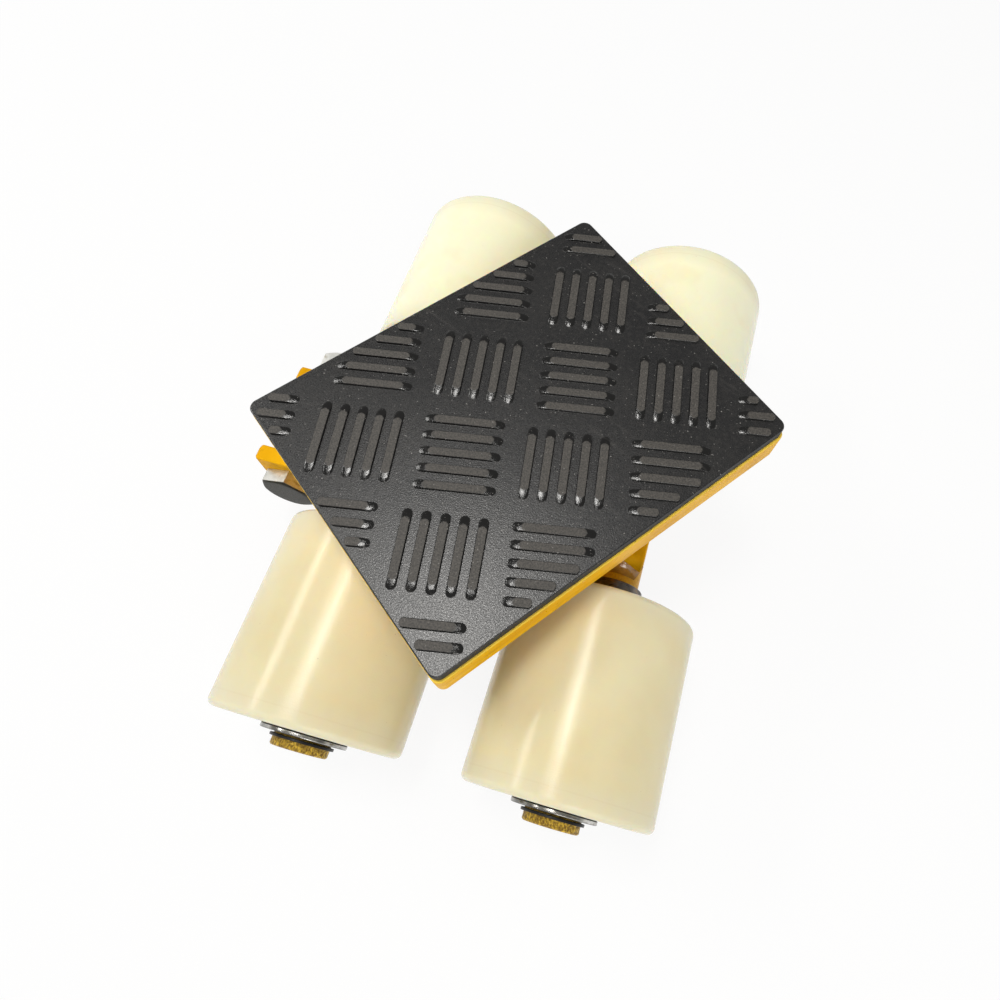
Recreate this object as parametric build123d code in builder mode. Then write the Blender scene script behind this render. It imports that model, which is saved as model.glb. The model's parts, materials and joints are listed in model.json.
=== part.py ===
from build123d import *
import os

# Four-roller moving dolly with a swivelling, rubber-faced top plate.
# Millimetres. +Z is up, the floor is z = 0, and the swivel axis is the Z axis.
# X is the rolling direction, with the towing end at -X. The axles lie along Y.

# Rollers
roller_radius = 42.5
roller_length = 89.0
roller_inner_end = 52.0
roller_edge_radius = 3.2
roller_core_radius = 21.0

# Axles, with the collar, washer and circlip that hold each roller in place
axle_spacing = 113.0
axle_radius = 12.5
axle_length = 298.0
axle_chamfer = 0.6
collar_inner_end = 40.0
collar_radius = 15.0
washer_radius = 19.0
washer_thickness = 2.0
washer_boss_radius = 15.2
circlip_groove_radius = 11.9
circlip_radius = 14.0
circlip_thickness = 1.2
circlip_space = 0.8
circlip_slack = 0.05
circlip_lug_radius = 2.4
circlip_gap_width = 5.0
fit_gap = 0.02
running_gap = 0.4

# Deep-groove ball bearings, two in each roller
bearing_radius = 26.0
bearing_width = 15.0
bearing_recess = 1.5
bearing_pitch_radius = 19.5
bearing_ball_radius = 3.97
bearing_ball_count = 9
bearing_groove_radius = 4.27
inner_ring_radius = 16.3
outer_ring_bore = 22.7
seal_thickness = 0.8
cage_radial = 2.0
cage_width = 12.0
pocket_gap = 0.15
sleeve_radius = 16.0

# Frame: a bent channel that sits over the axles
channel_half_width = 32.5
channel_wall = 4.5
channel_top = 60.0
channel_bottom = 22.0
channel_front = -98.0
channel_rear = 67.5
channel_bend_radius = 6.0
channel_corner_radius = 6.0

# Towing lugs, their bolt, washer and nut
lug_thickness = 8.0
lug_height = 40.0
lug_top = 53.0
lug_front = -130.0
lug_rear = -71.5
lug_chamfer = 1.5
tow_bolt_x = -115.4
tow_bolt_z = 34.0
tow_bolt_radius = 8.0
tow_hole_radius = 8.5
hex_flat_radius = 12.0
hex_corner_reach = 14.4
hex_turn = 20.0
hex_chamfer = 1.2
tow_head_thickness = 7.5
tow_washer_radius = 15.0
tow_washer_thickness = 3.0
tow_nut_thickness = 15.0
tow_bolt_end = 48.5

# Swivel: base disc, bush, thrust bearing, spindle and its nut
disc_radius = 50.0
disc_thickness = 10.5
disc_chamfer = 1.5
thrust_seat_depth = 2.0
thrust_bore = 25.5
thrust_radius = 39.0
thrust_height = 22.0
thrust_pitch_radius = 32.0
thrust_ball_radius = 6.0
thrust_ball_count = 14
thrust_groove_radius = 6.3
thrust_race_thickness = 6.8
thrust_cage_thickness = 3.5
thrust_cage_width = 15.4
bush_radius = 22.0
spindle_radius = 17.5
spindle_running_gap = 0.05
spindle_head_radius = 27.0
spindle_head_thickness = 6.0
spindle_thread_radius = 15.0
spindle_chamfer = 1.5
spindle_shoulder_drop = 0.3
spindle_end = 26.0
pivot_washer_radius = 26.0
pivot_washer_thickness = 4.0
pivot_nut_flat_radius = 23.0
pivot_nut_thickness = 24.0
pivot_slot_width = 6.0
pivot_slot_depth = 9.0
split_pin_radius = 2.6
split_pin_head_radius = 3.8
split_pin_head_thickness = 2.2
split_pin_leg_radius = 1.2
split_pin_leg_reach = 7.0

# Top plate and rubber pad
plate_turn = 52.55
plate_length = 177.6
plate_width = 141.5
plate_top = 105.5
plate_bottom = 89.5
plate_corner_radius = 3.5
plate_edge_radius = 0.8
pad_length = 177.0
pad_width = 139.5
pad_land = 111.0
pad_seat_depth = 1.5
pad_corner_radius = 4.0
pad_edge_radius = 0.6

# Tread of the pad: groups of raised bars at right angles to each other, as in a basket weave
tread_pitch_along = 61.0
tread_pitch_across = 60.0
tread_shift = (0.0, 0.3)
tread_turn = 0.75
tread_margin = 1.4
rising_angle = 45.0
falling_angle = -43.2
bar_count = 5
bar_pitch = 7.51
bar_length = 33.5
bar_width = 4.2
bar_height = 0.9
bar_sink = 0.05
bar_ramp = 4.4
bar_draft = 0.35
knee_ramp = 1.8
knee_height = 0.58
shortest_bar = 5.0

# Sizes that follow from those above
axle_x = axle_spacing / 2
axle_z = roller_radius
roller_outer_end = roller_inner_end + roller_length
inner_bearing_start = roller_inner_end + bearing_recess
outer_bearing_start = roller_outer_end - bearing_recess - bearing_width
bearing_starts = (inner_bearing_start, outer_bearing_start)
washer_face = roller_outer_end + running_gap
circlip_start = washer_face + washer_thickness + circlip_space
lug_outer_face = channel_half_width - channel_wall
lug_mid_z = lug_top - lug_height / 2
lug_mid_x = (lug_front + lug_rear) / 2
disc_top = channel_top + disc_thickness
thrust_bottom = disc_top - thrust_seat_depth
thrust_top = thrust_bottom + thrust_height
thrust_mid = (thrust_bottom + thrust_top) / 2
pad_seat = plate_top - pad_seat_depth
spindle_shoulder = channel_top - channel_wall - spindle_shoulder_drop
pivot_nut_top = spindle_shoulder - pivot_washer_thickness
pivot_nut_bottom = pivot_nut_top - pivot_nut_thickness
split_pin_z = pivot_nut_bottom + pivot_slot_depth / 2
plate_plane = Plane.XY.rotated((0, 0, plate_turn))

corners = {
    "front_left": (-1, -1),
    "front_right": (-1, 1),
    "rear_left": (1, -1),
    "rear_right": (1, 1),
}


def save(piece, name):
    """Label a finished piece and write it to its own file."""
    piece.part.label = name
    export_step(piece.part, f"parts/{name}.step")


def band(start, end, inner, outer, mode=Mode.ADD):
    """A rectangle between two stations along an axis and two radii from it."""
    with Locations(((start + end) / 2, (inner + outer) / 2)):
        Rectangle(abs(end - start), outer - inner, mode=mode)


def ring(bottom, top, inner, outer, mode=Mode.ADD):
    """The same rectangle for a ring about a vertical axis."""
    with Locations(((inner + outer) / 2, (bottom + top) / 2)):
        Rectangle(outer - inner, top - bottom, mode=mode)


def along_axle(end):
    """A sketch plane through one axle, with its own x along the axle and its own y upwards."""
    return Plane((end * axle_x, 0, axle_z), x_dir=(0, 1, 0), z_dir=(1, 0, 0))


def across_axle(end, station):
    """A sketch plane square to one axle at a station along it."""
    return Plane((end * axle_x, station, axle_z), x_dir=(1, 0, 0), z_dir=(0, 1, 0))


def across_tow_bolt(station):
    """A sketch plane square to the towing bolt at a station along it."""
    return Plane((tow_bolt_x, station, tow_bolt_z), x_dir=(1, 0, 0), z_dir=(0, 1, 0))


def axle_axis(end):
    """The centre line of one axle."""
    return Axis((end * axle_x, 0, axle_z), (0, 1, 0))


def tow_hexagon(seat, end):
    """A hexagon on the towing bolt's axis, from its seat to an outer end with rounded-off corners."""
    outward = 1 if end > seat else -1
    with BuildSketch(across_tow_bolt(seat)) as hexagon:
        RegularPolygon(hex_flat_radius, 6, major_radius=False, rotation=-hex_turn)
    extrude(hexagon.sketch, amount=end - seat)
    with BuildSketch(Plane((tow_bolt_x, 0, tow_bolt_z), x_dir=(0, 1, 0), z_dir=(1, 0, 0))) as envelope:
        with BuildLine():
            Polyline(
                (seat, 0),
                (seat, hex_corner_reach),
                (end - outward * hex_chamfer, hex_corner_reach),
                (end, hex_flat_radius - 0.5),
                (end, 0),
                close=True,
            )
        make_face()
    tow_axis = Axis((tow_bolt_x, 0, tow_bolt_z), (0, 1, 0))
    revolve(envelope.sketch, axis=tow_axis, mode=Mode.INTERSECT)


os.makedirs("parts", exist_ok=True)

# Frame channel: saddles over the rear axle, with closed holes for the front one
with BuildPart() as frame_channel:
    with BuildSketch(Plane.YZ.offset(channel_front)):
        with BuildLine():
            FilletPolyline(
                (-channel_half_width, channel_bottom),
                (-channel_half_width, channel_top),
                (channel_half_width, channel_top),
                (channel_half_width, channel_bottom),
                radius=channel_bend_radius,
            )
            offset(amount=channel_wall, side=Side.RIGHT)
        make_face()
    extrude(amount=channel_rear - channel_front)
    with BuildSketch(Plane.XZ):
        with Locations((-axle_x, axle_z), (axle_x, axle_z)):
            Circle(axle_radius + fit_gap)
        with Locations((axle_x - axle_radius - fit_gap, axle_z)):
            Rectangle(axle_spacing, roller_radius, align=(Align.MIN, Align.MAX))
    extrude(amount=channel_half_width + 1, both=True, mode=Mode.SUBTRACT)
    with BuildSketch(Plane.XY.offset(channel_top)):
        Circle(bush_radius + fit_gap)
    extrude(amount=-2 * channel_wall, mode=Mode.SUBTRACT)
    lower_ends = frame_channel.edges().filter_by(Axis.Y).group_by(Axis.Z)[0]
    fillet(lower_ends, channel_corner_radius)
save(frame_channel, "frame_channel")

# Towing lugs: flat bars against the inside of the channel, drilled for the bolt
for name, side in (("tow_lug_left", -1), ("tow_lug_right", 1)):
    with BuildPart() as lug:
        with BuildSketch(Plane.XZ.offset(-side * lug_outer_face)):
            with Locations((lug_mid_x, lug_mid_z)):
                Rectangle(lug_rear - lug_front, lug_height)
            with Locations((tow_bolt_x, tow_bolt_z)):
                Circle(tow_hole_radius, mode=Mode.SUBTRACT)
        extrude(amount=side * lug_thickness)
        front_edges = lug.faces().sort_by(Axis.X)[0].edges()
        chamfer(front_edges, lug_chamfer)
    save(lug, name)

# Towing bolt with its hexagon head on the left, and the washer and nut on the right
with BuildPart() as tow_bolt:
    tow_hexagon(-lug_outer_face, -lug_outer_face - tow_head_thickness)
    with BuildSketch(across_tow_bolt(-lug_outer_face)):
        Circle(tow_bolt_radius)
    extrude(amount=tow_bolt_end + lug_outer_face)
    chamfer(tow_bolt.faces().sort_by(Axis.Y)[-1].edges(), hex_chamfer)
save(tow_bolt, "tow_bolt")

with BuildPart() as tow_bolt_washer:
    with BuildSketch(across_tow_bolt(lug_outer_face)):
        Circle(tow_washer_radius)
        Circle(tow_bolt_radius + fit_gap, mode=Mode.SUBTRACT)
    extrude(amount=tow_washer_thickness)
save(tow_bolt_washer, "tow_bolt_washer")

with BuildPart() as tow_nut:
    nut_seat = lug_outer_face + tow_washer_thickness
    tow_hexagon(nut_seat, nut_seat + tow_nut_thickness)
    with BuildSketch(across_tow_bolt(nut_seat)):
        Circle(tow_bolt_radius + fit_gap)
    extrude(amount=tow_nut_thickness, mode=Mode.SUBTRACT)
save(tow_nut, "tow_nut")

# Axles, turned down at each end for the circlip
for name, end in (("axle_front", -1), ("axle_rear", 1)):
    with BuildPart() as axle:
        with BuildSketch(along_axle(end)):
            band(-axle_length / 2, axle_length / 2, 0, axle_radius)
            for side in (-1, 1):
                groove_start = side * (circlip_start - circlip_slack)
                groove_end = side * (circlip_start + circlip_thickness + circlip_slack)
                band(groove_start, groove_end, circlip_groove_radius, axle_radius, mode=Mode.SUBTRACT)
        revolve(axis=axle_axis(end))
        end_faces = axle.faces().sort_by(Axis.Y)
        chamfer(end_faces[0].edges() + end_faces[-1].edges(), axle_chamfer)
    save(axle, name)

# Dark collars pressed on the axles against the inner bearings
with BuildPart() as axle_collars:
    for end, side in corners.values():
        with BuildSketch(along_axle(end)):
            collar_end = side * inner_bearing_start
            band(side * collar_inner_end, collar_end, axle_radius + fit_gap, collar_radius)
        revolve(axis=axle_axis(end))
save(axle_collars, "axle_collars")

# Shouldered washers outside the rollers
with BuildPart() as axle_washers:
    for end, side in corners.values():
        with BuildSketch(along_axle(end)):
            boss_start = side * (outer_bearing_start + bearing_width)
            disc_start = side * washer_face
            disc_end = side * (washer_face + washer_thickness)
            band(boss_start, disc_start, axle_radius + fit_gap, washer_boss_radius)
            band(disc_start, disc_end, axle_radius + fit_gap, washer_radius)
        revolve(axis=axle_axis(end))
save(axle_washers, "axle_washers")

# Open spring rings with two drilled lugs at the gap, which faces the floor
with BuildPart() as axle_circlips:
    for end, side in corners.values():
        lug_offset = circlip_gap_width / 2 + circlip_lug_radius * 0.8
        with BuildSketch(across_axle(end, side * circlip_start)):
            Circle(circlip_radius)
            with Locations((-lug_offset, circlip_radius), (lug_offset, circlip_radius)):
                Circle(circlip_lug_radius)
            Circle(circlip_groove_radius + fit_gap, mode=Mode.SUBTRACT)
            with Locations((0, circlip_radius)):
                Rectangle(circlip_gap_width, circlip_radius, mode=Mode.SUBTRACT)
            with Locations((-lug_offset, circlip_radius), (lug_offset, circlip_radius)):
                Circle(circlip_lug_radius / 2, mode=Mode.SUBTRACT)
        extrude(amount=side * circlip_thickness)
save(axle_circlips, "axle_circlips")

# Rollers and their bearings
for corner_name, (end, side) in corners.items():
    axis = axle_axis(end)
    bearing_mids = [side * (start + bearing_width / 2) for start in bearing_starts]

    with BuildPart() as roller:
        with BuildSketch(along_axle(end)):
            band(side * roller_inner_end, side * roller_outer_end, roller_core_radius, roller_radius)
            seat_radius = bearing_radius + fit_gap
            inner_seat_end = side * (inner_bearing_start + bearing_width)
            outer_seat_end = side * outer_bearing_start
            band(side * roller_inner_end, inner_seat_end, 0, seat_radius, mode=Mode.SUBTRACT)
            band(outer_seat_end, side * roller_outer_end, 0, seat_radius, mode=Mode.SUBTRACT)
        revolve(axis=axis)
        rims = roller.edges().filter_by(GeomType.CIRCLE).sort_by(SortBy.RADIUS)[-2:]
        fillet(rims, roller_edge_radius)
    save(roller, f"roller_{corner_name}")

    with BuildPart() as outer_rings:
        with BuildSketch(along_axle(end)):
            for mid in bearing_mids:
                band(mid - bearing_width / 2, mid + bearing_width / 2, outer_ring_bore, bearing_radius)
                with Locations((mid, bearing_pitch_radius)):
                    Circle(bearing_groove_radius, mode=Mode.SUBTRACT)
        revolve(axis=axis)
    save(outer_rings, f"bearing_outer_rings_{corner_name}")

    with BuildPart() as inner_rings:
        with BuildSketch(along_axle(end)):
            for mid in bearing_mids:
                ring_start = mid - bearing_width / 2
                band(ring_start, ring_start + bearing_width, axle_radius + fit_gap, inner_ring_radius)
                with Locations((mid, bearing_pitch_radius)):
                    Circle(bearing_groove_radius, mode=Mode.SUBTRACT)
        revolve(axis=axis)
    save(inner_rings, f"bearing_inner_rings_{corner_name}")

    with BuildPart() as seals:
        with BuildSketch(along_axle(end)):
            for mid in bearing_mids:
                for face in (-1, 1):
                    outside = mid + face * bearing_width / 2
                    inside = outside - face * seal_thickness
                    band(outside, inside, inner_ring_radius + running_gap, outer_ring_bore)
        revolve(axis=axis)
    save(seals, f"bearing_seals_{corner_name}")

    with BuildPart(*[across_axle(end, mid) for mid in bearing_mids]) as balls:
        with PolarLocations(bearing_pitch_radius, bearing_ball_count):
            Sphere(bearing_ball_radius)
    save(balls, f"bearing_balls_{corner_name}")

    with BuildPart(*[across_axle(end, mid) for mid in bearing_mids]) as cages:
        Cylinder(bearing_pitch_radius + cage_radial / 2, cage_width)
        Cylinder(bearing_pitch_radius - cage_radial / 2, cage_width, mode=Mode.SUBTRACT)
        with PolarLocations(bearing_pitch_radius, bearing_ball_count):
            pocket_radius = bearing_ball_radius + pocket_gap
            Cylinder(pocket_radius, 3 * cage_radial, rotation=(0, 90, 0), mode=Mode.SUBTRACT)
    save(cages, f"bearing_cages_{corner_name}")

    with BuildPart() as sleeve:
        with BuildSketch(along_axle(end)):
            sleeve_start = side * (inner_bearing_start + bearing_width)
            band(sleeve_start, side * outer_bearing_start, axle_radius + fit_gap, sleeve_radius)
        revolve(axis=axis)
    save(sleeve, f"bearing_sleeve_{corner_name}")

# Base disc on the channel, with the seat of the thrust bearing
with BuildPart() as base_disc:
    with BuildSketch(Plane.XZ):
        ring(channel_top, disc_top, bush_radius + fit_gap, disc_radius)
        ring(thrust_bottom, disc_top, 0, thrust_radius + fit_gap, mode=Mode.SUBTRACT)
    revolve(axis=Axis.Z)
    top_circles = base_disc.edges().filter_by(GeomType.CIRCLE).group_by(Axis.Z)[-1]
    chamfer(top_circles.sort_by(SortBy.RADIUS)[-1], disc_chamfer)
save(base_disc, "base_disc")

with BuildPart() as pivot_bush:
    with BuildSketch(Plane.XZ):
        bush_bottom = channel_top - channel_wall
        ring(bush_bottom, thrust_bottom, spindle_radius + spindle_running_gap, bush_radius)
    revolve(axis=Axis.Z)
save(pivot_bush, "pivot_bush")

# Thrust ball bearing under the top plate
race_bottoms = {
    "thrust_race_lower": thrust_bottom,
    "thrust_race_upper": thrust_top - thrust_race_thickness,
}
for name, bottom in race_bottoms.items():
    with BuildPart() as race:
        with BuildSketch(Plane.XZ):
            ring(bottom, bottom + thrust_race_thickness, thrust_bore, thrust_radius)
            with Locations((thrust_pitch_radius, thrust_mid)):
                Circle(thrust_groove_radius, mode=Mode.SUBTRACT)
        revolve(axis=Axis.Z)
    save(race, name)

with BuildPart(Plane.XY.offset(thrust_mid)) as thrust_balls:
    with PolarLocations(thrust_pitch_radius, thrust_ball_count):
        Sphere(thrust_ball_radius)
save(thrust_balls, "thrust_balls")

with BuildPart(Plane.XY.offset(thrust_mid)) as thrust_cage:
    Cylinder(thrust_pitch_radius + thrust_cage_width / 2, thrust_cage_thickness)
    Cylinder(thrust_pitch_radius - thrust_cage_width / 2, thrust_cage_thickness, mode=Mode.SUBTRACT)
    with PolarLocations(thrust_pitch_radius, thrust_ball_count):
        Cylinder(thrust_ball_radius + pocket_gap, thrust_cage_thickness, mode=Mode.SUBTRACT)
save(thrust_cage, "thrust_cage")

# Spindle: its head sits in the plate under the pad, its thread carries the slotted nut
with BuildPart() as pivot_spindle:
    with BuildSketch(Plane.XZ):
        ring(pad_seat - spindle_head_thickness, pad_seat, 0, spindle_head_radius)
        ring(spindle_shoulder, pad_seat, 0, spindle_radius)
        ring(spindle_end, spindle_shoulder, 0, spindle_thread_radius)
    revolve(axis=Axis.Z)
    chamfer(pivot_spindle.faces().sort_by(Axis.Z)[0].edges(), spindle_chamfer)
    with BuildSketch(Plane.YZ):
        with Locations((0, split_pin_z)):
            Circle(split_pin_radius + 2 * spindle_running_gap)
    extrude(amount=spindle_radius, both=True, mode=Mode.SUBTRACT)
save(pivot_spindle, "pivot_spindle")

with BuildPart() as pivot_washer:
    with BuildSketch(Plane.XY.offset(pivot_nut_top)):
        Circle(pivot_washer_radius)
        Circle(spindle_thread_radius + fit_gap, mode=Mode.SUBTRACT)
    extrude(amount=pivot_washer_thickness)
save(pivot_washer, "pivot_washer")

with BuildPart() as pivot_nut:
    with BuildSketch(Plane.XY.offset(pivot_nut_bottom)):
        RegularPolygon(pivot_nut_flat_radius, 6, major_radius=False, rotation=30)
        Circle(spindle_thread_radius + fit_gap, mode=Mode.SUBTRACT)
    extrude(amount=pivot_nut_thickness)
    with BuildSketch(Plane.XY.offset(pivot_nut_bottom)):
        with PolarLocations(0, 3):
            Rectangle(4 * pivot_nut_flat_radius, pivot_slot_width)
    extrude(amount=pivot_slot_depth, mode=Mode.SUBTRACT)
save(pivot_nut, "pivot_nut")

with BuildPart() as split_pin:
    pin_start = -pivot_nut_flat_radius - 2 * split_pin_leg_radius
    head_start = pivot_nut_flat_radius + fit_gap
    with BuildSketch(Plane.YZ.offset(pin_start)):
        with Locations((0, split_pin_z)):
            Circle(split_pin_radius)
    extrude(amount=head_start - pin_start)
    with BuildSketch(Plane.YZ.offset(head_start)):
        with Locations((0, split_pin_z)):
            Circle(split_pin_head_radius)
    extrude(amount=split_pin_head_thickness)
    with BuildSketch(Plane.XZ):
        with Locations((pin_start + split_pin_leg_radius - fit_gap, split_pin_z)):
            Circle(split_pin_leg_radius)
    extrude(amount=split_pin_leg_reach, both=True)
save(split_pin, "split_pin")

# Steel top plate: a shallow tray for the pad above and the bearing seat below
with BuildPart() as top_plate:
    with BuildSketch(plate_plane.offset(plate_bottom)):
        RectangleRounded(plate_length, plate_width, plate_corner_radius)
    extrude(amount=plate_top - plate_bottom)
    rims = top_plate.edges().group_by(Axis.Z)
    fillet(rims[0] + rims[-1], plate_edge_radius)
    with BuildSketch(plate_plane.offset(plate_top)):
        RectangleRounded(pad_length + 2 * fit_gap, pad_width + 2 * fit_gap, pad_corner_radius)
    extrude(amount=-pad_seat_depth, mode=Mode.SUBTRACT)
    with BuildSketch(Plane.XY.offset(plate_bottom)):
        Circle(thrust_radius + fit_gap)
    extrude(amount=thrust_top - plate_bottom, mode=Mode.SUBTRACT)
    with BuildSketch(Plane.XY.offset(pad_seat)):
        Circle(spindle_head_radius + fit_gap)
    extrude(amount=-spindle_head_thickness, mode=Mode.SUBTRACT)
    with BuildSketch(Plane.XY.offset(plate_top)):
        Circle(spindle_radius + fit_gap)
    extrude(amount=plate_bottom - plate_top, mode=Mode.SUBTRACT)
save(top_plate, "top_plate")

# One whole bar of the tread: round ends in plan, steep sides, and at both ends a long ramp with a knee in it
knee_draft = bar_draft * knee_height / bar_height
bar_sections = [
    (-bar_sink, 0, 0),
    (knee_height, knee_ramp, knee_draft),
    (bar_height, bar_ramp, bar_draft),
]
with BuildPart() as bar:
    for level, ramp, draft in bar_sections:
        with BuildSketch(Plane.XY.offset(level)):
            SlotOverall(bar_length - 2 * ramp, bar_width - 2 * draft)
    loft(ruled=True)

# Places of the bars on the pad: rising groups and falling groups interleave on a lattice
half_along = tread_pitch_along / 2
half_across = tread_pitch_across / 2
rising_groups = [(2 * col * half_along, row * half_across) for col in (-1, 0, 1) for row in (-1, 1)]
falling_groups = [(col * half_along, 2 * row * half_across) for col in (-3, -1, 1, 3) for row in (-1, 0, 1)]
bar_steps = [(step - (bar_count - 1) / 2) * bar_pitch for step in range(bar_count)]
tread_place = Location((*tread_shift, 0), (0, 0, tread_turn))
bar_places = [
    tread_place * Location((x, y, 0), (0, 0, angle)) * Location((0, step, 0))
    for groups, angle in ((rising_groups, rising_angle), (falling_groups, falling_angle))
    for x, y in groups
    for step in bar_steps
]


def span_on_pad(place):
    """Where a bar's middle line starts and ends, cut short where it would come too near the pad's edge."""
    half = (bar_length - bar_width) / 2
    start, end = -half, half
    middle = place.position
    heading = (place * Location((1, 0, 0))).position - middle
    inset = tread_margin + bar_width / 2
    x_limit = pad_length / 2 - inset
    y_limit = pad_width / 2 - inset
    for spot, slope, limit in ((middle.X, heading.X, x_limit), (middle.Y, heading.Y, y_limit)):
        first, last = sorted(((-limit - spot) / slope, (limit - spot) / slope))
        start, end = max(start, first), min(end, last)
    return start, end


# All bars together; a bar that is cut short has a plain round end there
land_plane = plate_plane.offset(pad_land)
with BuildPart(land_plane) as tread:
    with Locations(*bar_places):
        add(bar.part)
    with BuildSketch(land_plane.offset(-bar_sink)):
        for place in bar_places:
            start, end = span_on_pad(place)
            if end - start > shortest_bar - bar_width:
                with Locations(place * Location(((start + end) / 2, 0, 0))):
                    SlotCenterToCenter(end - start, bar_width)
    extrude(amount=2 * bar_height, mode=Mode.INTERSECT)

# Rubber pad
with BuildPart() as rubber_pad:
    with BuildSketch(plate_plane.offset(pad_seat)):
        RectangleRounded(pad_length, pad_width, pad_corner_radius)
    extrude(amount=pad_land - pad_seat)
    fillet(rubber_pad.edges().group_by(Axis.Z)[-1], pad_edge_radius)
    add(tread.part)
save(rubber_pad, "rubber_pad")
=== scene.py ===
# %% [markdown]
# # A four-roller moving dolly
# The dolly is already built in CAD: every solid, joint and size is fixed in the frame that is loaded
# here, in metres, with +Z up and the floor at zero. This lesson adds how the real thing looks. Edges
# are softened, turned pieces are spun again with their small details, weld runs are added, and every
# surface gets a finish with the wear it has in use.

# %% Load the frame
import json
from math import cos, pi, radians, tau

import bmesh
import bpy
from mathutils import Matrix, Vector

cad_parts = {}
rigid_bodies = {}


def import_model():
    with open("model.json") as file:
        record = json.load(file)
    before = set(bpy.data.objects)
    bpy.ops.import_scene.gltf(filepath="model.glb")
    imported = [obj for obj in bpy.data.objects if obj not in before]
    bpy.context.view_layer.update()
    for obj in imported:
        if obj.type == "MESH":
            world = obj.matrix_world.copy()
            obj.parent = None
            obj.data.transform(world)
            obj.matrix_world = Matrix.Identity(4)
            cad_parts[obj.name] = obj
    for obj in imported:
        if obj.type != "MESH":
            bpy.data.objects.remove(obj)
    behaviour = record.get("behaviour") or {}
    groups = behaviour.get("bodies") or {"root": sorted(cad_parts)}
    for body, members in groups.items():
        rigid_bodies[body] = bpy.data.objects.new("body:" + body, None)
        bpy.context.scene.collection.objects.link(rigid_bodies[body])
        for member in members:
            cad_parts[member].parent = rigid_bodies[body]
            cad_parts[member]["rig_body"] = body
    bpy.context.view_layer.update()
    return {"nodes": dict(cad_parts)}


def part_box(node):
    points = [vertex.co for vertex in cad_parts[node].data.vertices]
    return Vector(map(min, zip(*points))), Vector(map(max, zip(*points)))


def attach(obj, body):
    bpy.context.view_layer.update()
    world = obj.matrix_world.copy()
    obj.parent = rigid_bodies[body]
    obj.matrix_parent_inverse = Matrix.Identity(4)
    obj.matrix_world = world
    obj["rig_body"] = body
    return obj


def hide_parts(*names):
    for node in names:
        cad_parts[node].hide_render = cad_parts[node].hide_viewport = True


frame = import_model()
MM = 0.001
corners = ("front_left", "front_right", "rear_left", "rear_right")

# %% [markdown]
# ## Building a finish out of nodes
# A finish is a Principled shader fed by small textures. Writing every node out by hand hides the idea,
# so a handful of helpers give the steps names: add a node, take a noise, carry a range of values over
# to another, lay one colour over another, and turn a height into relief. All textures read Object
# coordinates. Every piece sits at the origin with its place in its mesh, so one unit is one metre and
# a noise of scale 500 has lumps about two millimetres across.


# %% Helpers for the finishes
def add(tree, kind, sockets=None, **options):
    """Add a shader node, set its options, and set or link its input sockets."""
    node = tree.nodes.new("ShaderNode" + kind)
    for option, value in options.items():
        setattr(node, option, value)
    for socket, value in (sockets or {}).items():
        if isinstance(value, bpy.types.NodeSocket):
            tree.links.new(value, node.inputs[socket])
        else:
            node.inputs[socket].default_value = value
    return node


def new_finish(name, **constants):
    """A new material, its node tree and its shader, with the shader's own sockets set."""
    material = bpy.data.materials.new(name)
    material.use_nodes = True
    shader = material.node_tree.nodes["Principled BSDF"]
    for socket, value in constants.items():
        shader.inputs[socket.replace("_", " ")].default_value = value
    return material, material.node_tree, shader


def coordinates(tree, stretch=(1, 1, 1), turn=0.0):
    """Where a point lies on the piece, turned about Z and then squeezed along each axis."""
    spot = add(tree, "TexCoord").outputs["Object"]
    turned_spot = add(tree, "Mapping", {"Vector": spot, "Rotation": (0, 0, radians(turn))})
    squeezed = add(tree, "Mapping", {"Vector": turned_spot.outputs[0], "Scale": stretch})
    return squeezed.outputs[0]


def noise(tree, scale, detail=3.0, stretch=(1, 1, 1), turn=0.0):
    """Cloudy random values, in smaller clouds the higher the scale is."""
    where = coordinates(tree, stretch, turn)
    return add(tree, "TexNoise", {"Vector": where, "Scale": scale, "Detail": detail}).outputs[0]


def level(tree, value, low, high, start=0.0, end=1.0):
    """Carry the values from low to high over to the range from start to end."""
    sockets = {"Value": value, "From Min": low, "From Max": high, "To Min": start, "To Max": end}
    return add(tree, "MapRange", sockets).outputs[0]


def combine(tree, operation, first, second):
    """One step of arithmetic on two values."""
    return add(tree, "Math", {0: first, 1: second}, operation=operation).outputs[0]


def position_on(tree, axis):
    """Where a point lies along one axis."""
    return add(tree, "SeparateXYZ", {0: coordinates(tree)}).outputs[axis]


def distance_from(tree, value, mark):
    """How far a value lies from a mark, on either side of it."""
    difference = combine(tree, "SUBTRACT", value, mark)
    return add(tree, "Math", {0: difference}, operation="ABSOLUTE").outputs[0]


def opaque(colour):
    """A colour the way a socket takes it: a link as it is, three numbers with full opacity."""
    return colour if isinstance(colour, bpy.types.NodeSocket) else (*colour, 1.0)


def overlay(tree, share, under, over):
    """Lay one colour over another where the share is high."""
    sockets = {0: share, 6: opaque(under), 7: opaque(over)}
    return add(tree, "Mix", sockets, data_type="RGBA").outputs[2]


def overlay_value(tree, share, under, over):
    """The same for plain values."""
    return add(tree, "Mix", {0: share, 2: under, 3: over}).outputs[0]


def relief(tree, height, depth, below=None):
    """Turn a height from 0 to 1 into bumps that are depth metres high."""
    bump = add(tree, "Bump", {"Height": height, "Distance": depth})
    if below:
        tree.links.new(below, bump.inputs["Normal"])
    return bump.outputs[0]


def connect(tree, shader, colour, roughness, normal):
    """Feed the shader's colour, roughness and surface direction."""
    for socket, value in (("Base Color", colour), ("Roughness", roughness), ("Normal", normal)):
        tree.links.new(value, shader.inputs[socket])


print("finish helpers ready")

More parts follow.
